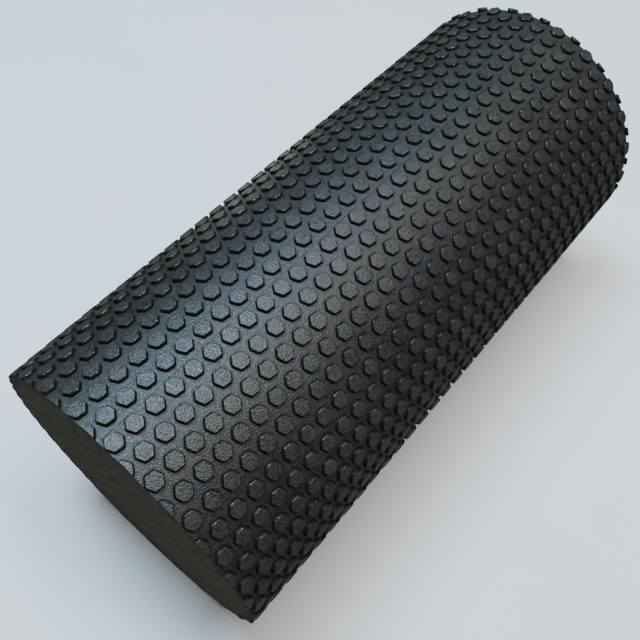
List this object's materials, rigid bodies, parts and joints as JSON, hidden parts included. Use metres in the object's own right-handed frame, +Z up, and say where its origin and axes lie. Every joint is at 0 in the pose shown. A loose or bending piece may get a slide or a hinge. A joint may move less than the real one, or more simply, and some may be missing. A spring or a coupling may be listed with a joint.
{
  "type": "foam roller",
  "caption": "Short solid foam massage roller: a round glued foam core wrapped in a black skin of raised hexagon studs, with flat sawn ends.",
  "frame": {"origin": "centre of the footprint, on the floor plane that the lowest studs rest on", "axes": "+X along the roller's axis from one sawn end to the other, +Z up, +Y across the roller; the roller lies on its side"},
  "size_m": [0.3, 0.1419, 0.142],
  "materials": {
    "skin_foam": "matte moulded EVA foam, charcoal black, soft sheen on the studs",
    "core_foam": "matte sawn EVA foam, brownish black, fine saw marks"
  },
  "bodies": {
    "root": {"textured_skin": "skin_foam", "core_board_lower": "core_foam", "core_board_middle": "core_foam", "core_board_upper": "core_foam"}
  },
  "joints": []
}
